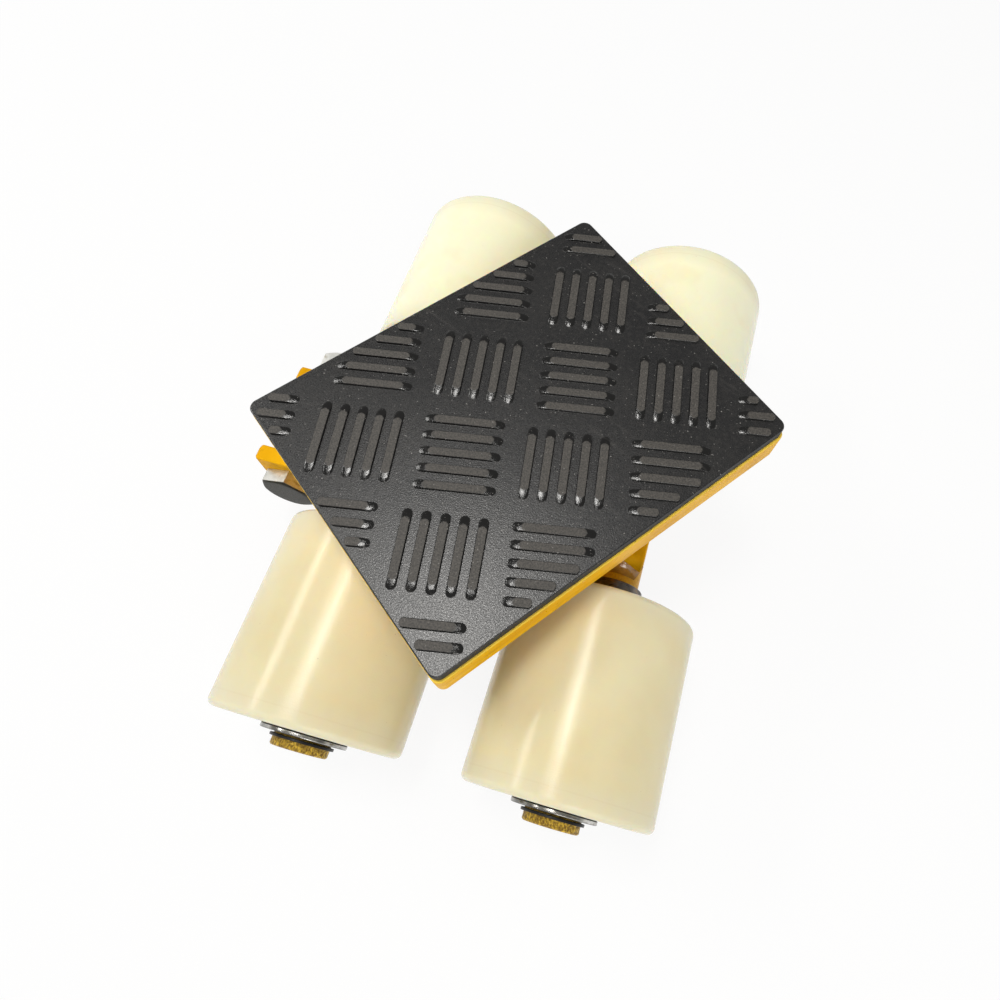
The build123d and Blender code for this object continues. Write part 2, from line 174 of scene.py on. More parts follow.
# %% [markdown]
# ## Yellow enamel
# The frame, the towing lugs, the base disc and the top plate are brushed with yellow enamel. Brushed
# paint is never one yellow: it is thinner and darker along the brush strokes, it gathers grime, and at
# the edges it chips first. Every edge also gets a lighter yellow as a painted highlight. The Bevel node
# tells how near an edge a point is, because there its rounded-off surface direction differs from the
# true one. That makes an edge mask that follows any piece, with no painting by hand. The lip round the
# top plate gets the strongest painted highlight, and no other painted piece is as high, so the height of
# a point finds it. A low IOR keeps upright faces from mirroring the white floor.


# %% Yellow enamel
def edge_wear_and_highlight_mask(tree, reach, low, high):
    """A mask that is 1 close to an edge of the piece and 0 on its open faces."""
    rounded = add(tree, "Bevel", {"Radius": reach}, samples=4).outputs[0]
    true = add(tree, "NewGeometry").outputs["Normal"]
    likeness = add(tree, "VectorMath", {0: rounded, 1: true}, operation="DOT_PRODUCT").outputs["Value"]
    return level(tree, likeness, high, low)


def yellow_enamel(lip_top):
    """Brushed yellow paint, grimy in places, chipped at the edges, with painted highlights on every edge
    and on the plate's lip.
    """
    material, tree, shader = new_finish("yellow_enamel", IOR=1.10)
    clouds = level(tree, noise(tree, 30, 4), 0.35, 0.65)
    strokes = level(tree, noise(tree, 160, 3, (0.18, 0.18, 1.6)), 0.38, 0.66)
    colour = overlay(tree, clouds, (0.82, 0.420, 0.004), (0.92, 0.520, 0.008))
    colour = overlay(tree, combine(tree, "MULTIPLY", strokes, 0.40), colour, (0.68, 0.310, 0.003))
    darkening = level(tree, noise(tree, 75, 6), 0.56, 0.74, 0.0, 0.45)
    colour = overlay(tree, darkening, colour, (0.34, 0.155, 0.006))
    edges = edge_wear_and_highlight_mask(tree, 0.9 * MM, 0.80, 0.97)
    # painted highlight: a lighter yellow along every edge
    colour = overlay(tree, combine(tree, "MULTIPLY", edges, 0.65), colour, (1.0, 0.74, 0.12))
    # painted highlight: the lightest yellow on the plate's lip, found by its height
    lip_painted_highlight = level(tree, position_on(tree, "Z"), lip_top - 0.9 * MM, lip_top - 0.2 * MM, 0.0, 0.85)
    colour = overlay(tree, lip_painted_highlight, colour, (1.0, 0.71, 0.10))
    chips = level(tree, noise(tree, 330, 4), 0.60, 0.66)
    bare = combine(tree, "MULTIPLY", edges, chips)
    colour = overlay(tree, bare, colour, (0.13, 0.085, 0.045))
    roughness = level(tree, noise(tree, 420, 3), 0.3, 0.7, 0.26, 0.42)
    peel = relief(tree, noise(tree, 900, 2), 0.03 * MM)
    normal = relief(tree, strokes, 0.08 * MM, peel)
    connect(tree, shader, colour, roughness, normal)
    return material


enamel = yellow_enamel(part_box("top_plate")[1].z)
print("finish:", enamel.name)

# %% [markdown]
# ## Painted axle steel
# The axles carry the same yellow between the channel and the collars. Their ends were sawn, handled and
# knocked, so the paint there has gone gold and brown and lies in rough pits. The distance from the
# middle of the dolly along Y tells one from the other, and it also scales the pits, so one finish
# serves a whole axle.


# %% Painted axle steel
PAINTED_END = 48 * MM
PAINT_FADE = 4 * MM


def axle_reach(tree):
    """How far a point lies from the middle of the dolly, measured along the axles."""
    return distance_from(tree, position_on(tree, "Y"), 0.0)


def axle_paint():
    """Fresh yellow in the middle, worn gold with brown pits past the end of the good paint."""
    material, tree, shader = new_finish("axle_paint", Specular_IOR_Level=0.25)
    worn = level(tree, axle_reach(tree), PAINTED_END - PAINT_FADE, PAINTED_END + PAINT_FADE)
    ridges = level(tree, noise(tree, 1150, 4, (1, 0.7, 1)), 0.40, 0.60)
    patches = level(tree, noise(tree, 420, 5), 0.46, 0.62)
    fresh = overlay(tree, ridges, (0.72, 0.35, 0.003), (0.86, 0.47, 0.006))
    gold = overlay(tree, ridges, (0.26, 0.15, 0.018), (0.78, 0.50, 0.050))
    gold = overlay(tree, combine(tree, "MULTIPLY", patches, 0.60), gold, (0.16, 0.085, 0.016))
    colour = overlay(tree, worn, fresh, gold)
    roughness = level(tree, ridges, 0, 1, 0.55, 0.30)
    grain = relief(tree, noise(tree, 1500, 3), 0.03 * MM)
    normal = relief(tree, combine(tree, "MULTIPLY", ridges, worn), 0.28 * MM, grain)
    connect(tree, shader, colour, roughness, normal)
    return material


axle_finish = axle_paint()
print("finish:", axle_finish.name)

# %% [markdown]
# ## Charcoal rubber
# The pad is moulded rubber with raised bars. The land between the bars has a fine grain that sparkles
# under the lamps, so its roughness comes from a very small noise. The bars' flat tops are duller and
# hold brown dust, and their ramps and sides are worn smooth, so they mirror a lamp, and their colour is
# darker than the land, a painted shade. The height of a point tells land, ramp and top apart, and finds
# the pad's outer side too, so Z drives both the colour and the roughness. Specks of dust and thin scuffs
# come from noises that are cut off high, so that only their peaks show.


# %% Charcoal rubber
def charcoal_rubber(land_height, bar_height):
    """Dark moulded rubber: sparkling land, smooth ramps and bar sides in painted shade, dull dusty bar
    tops, black outer sides.
    """
    material, tree, shader = new_finish("charcoal_rubber", Specular_IOR_Level=0.60)
    height = position_on(tree, "Z")
    side = level(tree, height, land_height - 0.3 * MM, land_height - 0.7 * MM)
    raised = level(tree, height, land_height + 0.04 * bar_height, land_height + 0.14 * bar_height)
    crown = level(tree, height, land_height + 0.90 * bar_height, land_height + 0.99 * bar_height)
    clouds = level(tree, noise(tree, 26, 5), 0.36, 0.64)
    colour = overlay(tree, clouds, (0.0060, 0.0060, 0.0066), (0.0125, 0.0122, 0.0122))
    mottle = level(tree, noise(tree, 520, 5), 0.46, 0.70, 0.0, 0.5)
    colour = overlay(tree, mottle, colour, (0.030, 0.028, 0.026))
    # painted shade: the bars' ramps and sides are made darker than the land
    colour = overlay(tree, raised, colour, (0.0040, 0.0038, 0.0036))
    powder = level(tree, noise(tree, 1500, 3), 0.36, 0.66)
    dust = overlay(tree, powder, (0.0250, 0.0225, 0.0195), (0.0780, 0.0700, 0.0600))
    colour = overlay(tree, crown, colour, dust)
    scuffs = level(tree, noise(tree, 240, 3, (0.10, 1.6, 1), 24), 0.64, 0.76, 0.0, 0.35)
    colour = overlay(tree, scuffs, colour, (0.055, 0.052, 0.049))
    specks = level(tree, noise(tree, 1250, 1), 0.725, 0.78)
    colour = overlay(tree, specks, colour, (0.26, 0.25, 0.235))
    colour = overlay(tree, side, colour, (0.0035, 0.0035, 0.0036))
    sparkle = level(tree, noise(tree, 2000, 3), 0.36, 0.64, 0.22, 0.42)
    smooth = overlay_value(tree, raised, sparkle, 0.16)
    roughness = overlay_value(tree, crown, smooth, 0.62)
    roughness = overlay_value(tree, side, roughness, 0.70)
    grain = relief(tree, noise(tree, 1800, 3), 0.070 * MM)
    normal = relief(tree, noise(tree, 330, 4), 0.035 * MM, grain)
    connect(tree, shader, colour, roughness, normal)
    return material


BAR_HEIGHT = 0.9 * MM
bar_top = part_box("rubber_pad")[1].z
pad_land = bar_top - BAR_HEIGHT
rubber = charcoal_rubber(pad_land, BAR_HEIGHT)
print("finish:", rubber.name, "bar tops at", round(bar_top, 4))

# %% [markdown]
# ## Ivory nylon
# The rollers are turned from cast nylon. Light enters it and comes out again nearby, so shadows are
# warm and soft; subsurface scattering does that. The body is a cloudy ivory, cooler near the two rims
# where the wall is thin. The lathe left rings far finer than a hair, and they break a highlight into
# sparkles. The rings are a noise stretched round the axle: squeezing X and Z and not Y leaves only the
# change along Y. One darker ring near the outer rim marks where the tool was set down. The two rollers
# on the +Y side get a lighter colour as painted light, so the colour also depends on the sign of Y.


# %% Ivory nylon
RIM_REACH = 14 * MM
RING_INSET = 7 * MM


def ivory_nylon(inner_end, outer_end):
    """Translucent cast nylon with turning rings, tiny pits and cooler rims."""
    material, tree, shader = new_finish(
        "ivory_nylon", Specular_IOR_Level=0.23, Subsurface_Weight=0.75,
        Subsurface_Radius=(1.0, 0.72, 0.40), Subsurface_Scale=0.011,
    )
    reach = axle_reach(tree)
    from_middle = distance_from(tree, reach, (inner_end + outer_end) / 2)
    half = (outer_end - inner_end) / 2
    rim = level(tree, from_middle, half - RIM_REACH, half)
    clouds = level(tree, noise(tree, 24, 3), 0.34, 0.66)
    colour = overlay(tree, clouds, (0.735, 0.655, 0.410), (0.775, 0.710, 0.475))
    # painted light: the two rollers on the +Y side are made lighter and whiter
    far_rollers_painted_light = level(tree, position_on(tree, "Y"), -inner_end, inner_end)
    colour = overlay(tree, far_rollers_painted_light, colour, (0.970, 0.930, 0.680))
    colour = overlay(tree, combine(tree, "MULTIPLY", rim, 0.75), colour, (0.700, 0.685, 0.540))
    warm = level(tree, noise(tree, 38, 2), 0.55, 0.75, 0.0, 0.22)
    colour = overlay(tree, warm, colour, (0.77, 0.610, 0.340))
    from_ring = distance_from(tree, reach, outer_end - RING_INSET)
    ring = level(tree, from_ring, 0.45 * MM, 0.10 * MM)
    colour = overlay(tree, combine(tree, "MULTIPLY", ring, 0.12), colour, (0.60, 0.49, 0.28))
    pits = level(tree, noise(tree, 620, 2), 0.755, 0.80)
    colour = overlay(tree, combine(tree, "MULTIPLY", pits, 0.4), colour, (0.46, 0.36, 0.20))
    roughness = level(tree, noise(tree, 300, 4, (0.3, 1, 0.3)), 0.3, 0.7, 0.13, 0.21)
    normal = relief(tree, noise(tree, 1500, 2, (0.03, 1, 0.03)), 0.014 * MM)
    normal = relief(tree, noise(tree, 1500, 2), 0.030 * MM, normal)
    connect(tree, shader, colour, roughness, normal)
    return material


roller_low, roller_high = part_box("roller_rear_right")
nylon = ivory_nylon(roller_low.y, roller_high.y)
print("finish:", nylon.name, "roller from", round(roller_low.y, 4), "to", round(roller_high.y, 4))

# %% [markdown]
# ## Plain metals and small parts
# The bolt, the nuts and the small washers are bright zinc, and the end washers are bright steel. The
# collars and the spindle are oiled steel straight from the lathe, the circlips are black spring steel,
# and the bearings are ground steel with rubber seals. They share one recipe: colour and roughness drift
# with noises, and the relief is as deep as the tool marks. A mask can lay a dark colour on one part of a
# piece: painted shade at both edges of an end washer's rim and on its hub, and a darker end face on the
# towing bolt's head. Seals, plastic cages and the glossy paint on the welds are the same recipe with no
# metal in it.

# %% Plain metals and small parts
ALONG_AXLE = (0.05, 1, 0.05)
ROUND_PIVOT = (0.05, 0.05, 1)
# dark colour laid on by a mask: painted shade on the end washers, a darker end face on the towing bolt
DARKENING_COLOUR = (0.020, 0.019, 0.011)
BOLT_HEAD_FACE = -34.7 * MM
# between these two stations the end washer's rim keeps no painted shade
UNSHADED_BAND_START = 142.0 * MM
UNSHADED_BAND_END = 143.1 * MM


def worked_metal(
    name, dark, light, smooth, rough, metallic=1.0, stretch=(1, 1, 1), stain=None, darkening=None,
    bumps=0.03 * MM, specular=0.5,
):
    """Drifting colour with stains and tool marks, and a dark, non-metal colour where a mask is 1."""
    material, tree, shader = new_finish(name, Metallic=metallic, Specular_IOR_Level=specular)
    drift = level(tree, noise(tree, 130, 5), 0.34, 0.66)
    colour = overlay(tree, drift, dark, light)
    if stain:
        stained = level(tree, noise(tree, 260, 5), 0.56, 0.70, 0.0, 0.8)
        colour = overlay(tree, stained, colour, stain)
    if darkening:
        darkened = darkening(tree)
        colour = overlay(tree, darkened, colour, DARKENING_COLOUR)
        tree.links.new(overlay_value(tree, darkened, metallic, 0.0), shader.inputs["Metallic"])
    marks = noise(tree, 1300, 3, stretch)
    roughness = level(tree, marks, 0.3, 0.7, smooth, rough)
    normal = relief(tree, marks, bumps)
    connect(tree, shader, colour, roughness, normal)
    return material


def on_bolt_head_end(tree):
    """1 on the end face of the towing bolt's head, and 0 on its sides."""
    return level(tree, position_on(tree, "Y"), BOLT_HEAD_FACE + 0.3 * MM, BOLT_HEAD_FACE)


def washer_edge_painted_shade(tree):
    """Painted shade: 1 at the two edges of an end washer's rim and on its hub, and 0 on the band
    between.
    """
    reach = axle_reach(tree)
    inner = level(tree, reach, UNSHADED_BAND_START, UNSHADED_BAND_START - 0.3 * MM)
    outer = level(tree, reach, UNSHADED_BAND_END, UNSHADED_BAND_END + 0.2 * MM)
    return combine(tree, "MAXIMUM", inner, outer)


zinc = worked_metal(
    "bright_zinc", (0.68, 0.68, 0.65), (0.85, 0.85, 0.82), 0.38, 0.54, stain=(0.46, 0.41, 0.31),
)
turned_steel = worked_metal(
    "oiled_turned_steel", (0.035, 0.032, 0.030), (0.24, 0.215, 0.19), 0.24, 0.46, 1.0, ALONG_AXLE,
    stain=(0.26, 0.15, 0.060), bumps=0.09 * MM,
)
# painted shade at both edges of each end washer's rim and on its hub
washer_steel = worked_metal(
    "end_washer_steel", (0.22, 0.215, 0.20), (0.74, 0.73, 0.70), 0.14, 0.26, 1.0, ALONG_AXLE,
    stain=(0.10, 0.08, 0.06), darkening=washer_edge_painted_shade, specular=0.10,
)
# the end face of the bolt's head is made darker and non-metal
bolt_zinc = worked_metal(
    "bolt_zinc", (0.60, 0.60, 0.56), (0.80, 0.80, 0.76), 0.28, 0.46, stain=(0.40, 0.36, 0.25),
    darkening=on_bolt_head_end, bumps=0.06 * MM, specular=0.10,
)
spring_steel = worked_metal(
    "black_spring_steel", (0.018, 0.018, 0.019), (0.045, 0.044, 0.043), 0.34, 0.52, 0.8,
)
bearing_steel = worked_metal("ground_bearing_steel", (0.44, 0.44, 0.45), (0.60, 0.60, 0.61), 0.16, 0.30)
ball_steel = worked_metal("polished_ball_steel", (0.62, 0.62, 0.64), (0.74, 0.74, 0.76), 0.05, 0.12)
seal_rubber = worked_metal("seal_rubber", (0.016, 0.016, 0.017), (0.034, 0.033, 0.032), 0.45, 0.62, 0.0)
cage_plastic = worked_metal("cage_plastic", (0.10, 0.075, 0.045), (0.16, 0.12, 0.075), 0.38, 0.52, 0.0)
brass = worked_metal(
    "machined_brass", (0.50, 0.33, 0.10), (0.66, 0.47, 0.17), 0.22, 0.40, 1.0, ROUND_PIVOT,
)
weld_paint = worked_metal(
    "painted_weld", (0.34, 0.145, 0.005), (0.62, 0.29, 0.007), 0.10, 0.20, 0.0,
    stain=(0.20, 0.080, 0.008), bumps=0.05 * MM, specular=1.0,
)
print("finishes in all:", len(bpy.data.materials))

# %% [markdown]
# ## Turning shapes into pieces
# A piece that stands for a CAD node rides on that node's body and gets a finish, and the node itself is
# hidden. Smooth shading alone would smear light across flat faces, so edges sharper than the limit stay
# sharp, and the Weighted Normal modifier lets large faces decide the shading near rounded edges.

# %% Helpers for the pieces
SHARP_EDGE = radians(38)
ROUNDED_EDGE = radians(30)
FLAT_ENOUGH = radians(0.5)
MERGE_DISTANCE = 1e-6


def place(shape, name, finish, body):
    """Make an object of a finished shape, and let it ride on a body."""
    mesh = bpy.data.meshes.new(name)
    shape.to_mesh(mesh)
    shape.free()
    mesh.materials.append(finish)
    mesh.shade_smooth()
    mesh.set_sharp_from_angle(angle=SHARP_EDGE)
    piece = bpy.data.objects.new(name, mesh)
    bpy.context.scene.collection.objects.link(piece)
    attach(piece, body)
    print(name, "faces", len(mesh.polygons))
    return piece


def settle_shading(piece):
    """Let the large faces set the shading at their edges."""
    weighted = piece.modifiers.new("large_faces_first", "WEIGHTED_NORMAL")
    weighted.keep_sharp = True


def stand_in(shape, finish, node):
    """Place a shape that stands for one CAD node."""
    body = frame["nodes"][node]["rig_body"]
    piece = place(shape, node + "_dressed", finish, body)
    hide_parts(node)
    return piece


def traced(node, joined=True):
    """A copy of a CAD node's surface, with flat runs of triangles joined into faces if asked."""
    source = frame["nodes"][node].data.copy()
    for layer in ("custom_normal", "sharp_edge", "sharp_face"):
        source.attributes.remove(source.attributes[layer])
    shape = bmesh.new()
    shape.from_mesh(source)
    bpy.data.meshes.remove(source)
    bmesh.ops.remove_doubles(shape, verts=shape.verts, dist=MERGE_DISTANCE)
    if joined:
        bmesh.ops.dissolve_limit(shape, angle_limit=FLAT_ENOUGH, verts=shape.verts, edges=shape.edges)
    return shape


def softened(node, finish, width):
    """Stand in for a CAD node with its own shape, its sharp edges rounded over."""
    piece = stand_in(traced(node), finish, node)
    rounding = piece.modifiers.new("rounded_edges", "BEVEL")
    rounding.width = width
    rounding.segments = 2
    rounding.limit_method = "ANGLE"
    rounding.angle_limit = ROUNDED_EDGE
    rounding.use_clamp_overlap = False
    settle_shading(piece)


# %% [markdown]
# ## The rubber pad
# The pad carries the load. Its raised bars lie in groups of five, each group square to its neighbours.
# The CAD solid has every bar in place with a sharp rim round its flat top, which real rubber can't
# hold. So the surface is traced from the solid, the triangles of every top are joined into one face,
# and the rims of those faces are rounded with a bevel. The small rounds catch the light along each bar.
# A bevel can lift a point by a hair, so no point is left above the bars' tops. The foot of a bar is a
# crisp line, so edges at the height of the land are marked sharp. Otherwise smooth shading would run the
# ramps into the land.

# %% The rubber pad
BAR_ROUNDING = 0.25 * MM
HEIGHT_SLACK = 0.01 * MM


def at_the_top(verts):
    """Whether all the given points lie at the height of the bars' tops."""
    return all(vert.co.z > bar_top - HEIGHT_SLACK for vert in verts)


pad_shape = traced("rubber_pad", joined=False)
tops = [face for face in pad_shape.faces if at_the_top(face.verts)]
bmesh.ops.dissolve_faces(pad_shape, faces=tops)
rims = [edge for edge in pad_shape.edges if at_the_top(edge.verts)]
bmesh.ops.bevel(
    pad_shape, geom=rims, affect="EDGES", offset=BAR_ROUNDING, offset_type="OFFSET", segments=3,
    profile=0.5, material=-1,
)
for vert in pad_shape.verts:
    vert.co.z = min(vert.co.z, bar_top)
pad = stand_in(pad_shape, rubber, "rubber_pad")
for edge in pad.data.edges:
    heights = [pad.data.vertices[number].co.z for number in edge.vertices]
    if all(abs(height - pad_land) < HEIGHT_SLACK for height in heights):
        edge.use_edge_sharp = True
settle_shading(pad)
print("rounded rim edges:", len(rims))

# %% [markdown]
# ## Channel, lugs and base disc
# These are cut and bent steel. Cut steel has a burr, the burr is ground off, and paint rounds what is
# left: about half a millimetre on the heavy pieces. Tracing the solids and rounding their edges keeps
# every hole and bend where the axles and bolts need them.

# %% Channel, lugs and base disc
for node, width in (
    ("frame_channel", 0.60 * MM),
    ("tow_lug_left", 0.60 * MM),
    ("tow_lug_right", 0.60 * MM),
    ("base_disc", 0.50 * MM),
):
    softened(node, enamel, width)

# %% [markdown]
# ## Turned pieces
# Rollers, axles, collars and washers come off a lathe, and the bmesh way to turn a shape is the same:
# draw half of its section, then spin it about the axle. Corners of the section are rounded before the
# spin, as a vertex bevel on the bare outline, so each corner can have its own radius. Pieces that come
# in pairs are drawn for the +Y side, and a sign carries the outline over to the other side.


# %% Helpers for turned pieces
def turned(shape, outline, line_x, line_z, steps, rounded=(), closed=True):
    """Spin an outline of (station along Y, radius) points about a line, and join it to the shape."""
    points = [shape.verts.new((line_x, station, line_z + radius)) for station, radius in outline]
    ends = zip(points, points[1:] + points[:1]) if closed else zip(points, points[1:])
    for near, far in ends:
        shape.edges.new((near, far))
    for radius, segments, numbers in rounded:
        bmesh.ops.bevel(
            shape, geom=[points[number] for number in numbers], affect="VERTICES", offset=radius,
            offset_type="OFFSET", segments=segments, profile=0.5, material=-1,
        )
    wire = [part for parts in (shape.verts, shape.edges) for part in parts if not part.link_faces]
    bmesh.ops.spin(
        shape, geom=wire, cent=(line_x, 0, line_z), axis=(0, 1, 0), angle=tau, steps=steps,
        use_merge=True,
    )
    bmesh.ops.remove_doubles(shape, verts=shape.verts, dist=MERGE_DISTANCE)
    bmesh.ops.recalc_face_normals(shape, faces=shape.faces)


def on_side(side, outline):
    """An outline drawn for the +Y side, on the side with the given sign."""
    return [(side * station, radius) for station, radius in outline]


def middle_of(node):
    """The middle of a CAD node's box."""
    low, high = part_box(node)
    return (low + high) / 2


print("turning helpers ready")

# %% [markdown]
# ## The rollers
# Each roller is a thick nylon tube with a bearing seat bored in each end. The rims are well rounded, so
# that the roller climbs small steps, and the mouths of the seats are broken with a small chamfer.

# %% The rollers
SEAT_RADIUS = 26.02 * MM
SEAT_DEPTH = 16.5 * MM
CORE_RADIUS = 21.0 * MM
RIM_ROUNDING = 3.2 * MM
MOUTH_CHAMFER = 0.8 * MM
for corner in corners:
    node = "roller_" + corner
    low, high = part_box(node)
    radius = (high.z - low.z) / 2
    centre = middle_of(node)
    outline = (
        (low.y, SEAT_RADIUS),
        (low.y, radius),
        (high.y, radius),
        (high.y, SEAT_RADIUS),
        (high.y - SEAT_DEPTH, SEAT_RADIUS),
        (high.y - SEAT_DEPTH, CORE_RADIUS),
        (low.y + SEAT_DEPTH, CORE_RADIUS),
        (low.y + SEAT_DEPTH, SEAT_RADIUS),
    )
    roller = bmesh.new()
    rounding = ((RIM_ROUNDING, 8, (1, 2)), (MOUTH_CHAMFER, 1, (0, 3)))
    turned(roller, outline, centre.x, centre.z, 144, rounding)
    settle_shading(stand_in(roller, nylon, node))

# %% [markdown]
# ## Axles
# An axle is a bar with a groove for a circlip near each end, a chamfer, and the small cone that the
# lathe's centre left in each end face. The outline runs from one end to the other and starts and ends
# on the axis, so it stays open.

# %% Axles
CENTRE_HOLE = 3.2 * MM
CENTRE_DEPTH = 2.6 * MM
GROOVE_RADIUS = 11.9 * MM
GROOVE_NEAR = 144.15 * MM
GROOVE_FAR = 145.45 * MM
END_CHAMFER = 0.6 * MM
for node in ("axle_front", "axle_rear"):
    low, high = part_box(node)
    radius = (high.z - low.z) / 2
    centre = middle_of(node)
    half_outline = (
        (GROOVE_NEAR, radius),
        (GROOVE_NEAR, GROOVE_RADIUS),
        (GROOVE_FAR, GROOVE_RADIUS),
        (GROOVE_FAR, radius),
        (high.y - END_CHAMFER, radius),
        (high.y, radius - END_CHAMFER),
        (high.y, CENTRE_HOLE),
        (high.y - CENTRE_DEPTH, 0),
    )
    outline = (*on_side(-1, reversed(half_outline)), *half_outline)
    axle = bmesh.new()
    turned(axle, outline, centre.x, centre.z, 64, closed=False)
    settle_shading(stand_in(axle, axle_finish, node))

# %% [markdown]
# ## Collars and end washers
# A roller runs between a collar on its inner side and a washer on its outer side, and a circlip holds
# the washer. Collars and washers are rings with eased corners, and a washer has a small hub that keeps
# its rim off the bearing's seal. All four of a kind are turned into one shape, as they are one node.

# %% Collars and end washers
AXLE_RADIUS = 12.5 * MM
AXLE_BORE = 12.52 * MM
COLLAR_START = 40.0 * MM
COLLAR_END = 53.5 * MM
COLLAR_RADIUS = 15.0 * MM
COLLAR_ROUNDING = 0.6 * MM
HUB_START = 139.5 * MM
HUB_RADIUS = 15.2 * MM
WASHER_START = 141.4 * MM
WASHER_END = 143.4 * MM
WASHER_RADIUS = 19.0 * MM
WASHER_ROUNDING = 0.45 * MM
collar_outline = (
    (COLLAR_START, AXLE_BORE),
    (COLLAR_START, COLLAR_RADIUS),
    (COLLAR_END, COLLAR_RADIUS),
    (COLLAR_END, AXLE_BORE),
)
washer_outline = (
    (HUB_START, AXLE_BORE),
    (HUB_START, HUB_RADIUS),
    (WASHER_START, HUB_RADIUS),
    (WASHER_START, WASHER_RADIUS),
    (WASHER_END, WASHER_RADIUS),
    (WASHER_END, AXLE_BORE),
)
collar_rounding = ((COLLAR_ROUNDING, 3, (1, 2)),)
washer_rounding = ((WASHER_ROUNDING, 3, (3, 4)),)
axle_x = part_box("axle_rear")[1].x - AXLE_RADIUS
axle_z = middle_of("axle_rear").z
axle_lines = [(end * axle_x, side) for end in (-1, 1) for side in (-1, 1)]
collars = bmesh.new()
washers = bmesh.new()
for line_x, side in axle_lines:
    turned(collars, on_side(side, collar_outline), line_x, axle_z, 64, collar_rounding)
    turned(washers, on_side(side, washer_outline), line_x, axle_z, 72, washer_rounding)
settle_shading(stand_in(collars, turned_steel, "axle_collars"))
settle_shading(stand_in(washers, washer_steel, "axle_washers"))
softened("axle_circlips", spring_steel, 0.18 * MM)

# %% [markdown]
# ## Bearings
# Two ball bearings sit in every roller, and their faces show at the roller's ends: a ground outer ring,
# a ground inner ring, and a black rubber seal between them. Rings have rounded corners. A seal has a
# raised lip at both edges and a shallow dish between them, so its section is drawn and spun.

# %% Bearings
SEAL_FACES = (53.5 * MM, 68.5 * MM, 124.5 * MM, 139.5 * MM)
SEAL_THICKNESS = 0.8 * MM
SEAL_DISH = 0.35 * MM
SEAL_BORE = 16.7 * MM
SEAL_RADIUS = 22.7 * MM
INNER_LIP = 17.6 * MM
OUTER_LIP = 21.6 * MM
DISH_START = 18.2 * MM
DISH_END = 21.0 * MM
LIP_ROUNDING = 0.15 * MM
for corner in corners:
    softened("bearing_outer_rings_" + corner, bearing_steel, 0.45 * MM)
    softened("bearing_inner_rings_" + corner, bearing_steel, 0.35 * MM)
    node = "bearing_seals_" + corner
    centre = middle_of("roller_" + corner)
    side = 1 if centre.y > 0 else -1
    seals = bmesh.new()
    for number, face in enumerate(SEAL_FACES):
        inward = 1 if number % 2 == 0 else -1
        dish = face + inward * SEAL_DISH
        back = face + inward * SEAL_THICKNESS
        outline = (
            (back, SEAL_BORE),
            (face, SEAL_BORE),
            (face, INNER_LIP),
            (dish, DISH_START),
            (dish, DISH_END),
            (face, OUTER_LIP),
            (face, SEAL_RADIUS),
            (back, SEAL_RADIUS),
        )
        rounding = ((LIP_ROUNDING, 2, (2, 3, 4, 5)),)
        turned(seals, on_side(side, outline), centre.x, centre.z, 72, rounding)
    settle_shading(stand_in(seals, seal_rubber, node))

# %% [markdown]
# ## Swivel pieces
# Between the base disc and the plate lies a thrust bearing with its balls and cage. Underneath, the
# spindle is held by a washer and a slotted nut with a split pin. Traced solids with eased edges are
# enough for all of these.

# %% Swivel pieces
for node, finish, width in (
    ("thrust_race_lower", bearing_steel, 0.40 * MM),
    ("thrust_race_upper", bearing_steel, 0.40 * MM),
    ("pivot_washer", zinc, 0.40 * MM),
    ("pivot_nut", zinc, 0.50 * MM),
    ("pivot_spindle", turned_steel, 0.40 * MM),
    ("split_pin", zinc, 0.20 * MM),
):
    softened(node, finish, width)

# %% [markdown]
# ## Towing bolt
# A bolt through the two lugs takes the towing eye. Its head and the nut are hexagons, and its thread
# shows past the nut and between the lugs. The thread is a real helix: a small ridge section is spun
# while every step also moves it along the bolt.

# %% Towing bolt
BOLT_X = -115.4 * MM
BOLT_Z = 34.0 * MM
THREAD_START = 6.0 * MM
THREAD_END = 48.0 * MM
THREAD_PITCH = 2.0 * MM
THREAD_ROOT = 6.9 * MM
THREAD_CREST = 7.95 * MM
CORE_OVERLAP = 1.0 * MM
TIP_LENGTH = 0.4 * MM
TIP_CHAMFER = 1.2 * MM
STEPS_PER_TURN = 32


def cut_away(shape, station):
    """Cut a shape square to Y, drop what lies beyond the station, and close the cut."""
    everything = shape.verts[:] + shape.edges[:] + shape.faces[:]
    cut = bmesh.ops.bisect_plane(
        shape, geom=everything, plane_co=(0, station, 0), plane_no=(0, 1, 0), clear_outer=True
    )
    rim = [part for part in cut["geom_cut"] if isinstance(part, bmesh.types.BMEdge)]
    bmesh.ops.edgeloop_fill(shape, edges=rim)


def thread_ridge(shape):
    """Wind one ridge of thread along the bolt and close its two ends."""
    section = ((0.05, -0.25), (0.42, 1.0), (0.58, 1.0), (0.95, -0.25))
    depth = THREAD_CREST - THREAD_ROOT
    points = []
    for share, rise in section:
        station = THREAD_START + share * THREAD_PITCH
        points.append(shape.verts.new((BOLT_X, station, BOLT_Z + THREAD_ROOT + rise * depth)))
    first = shape.faces.new(points)
    turns = int((THREAD_END - THREAD_START) / THREAD_PITCH) - 1
    step = Vector((0, THREAD_PITCH / STEPS_PER_TURN, 0))
    bmesh.ops.spin(
        shape, geom=[first, *first.edges, *first.verts], cent=(BOLT_X, 0, BOLT_Z), axis=(0, 1, 0),
        dvec=step, angle=turns * tau, steps=turns * STEPS_PER_TURN,
    )


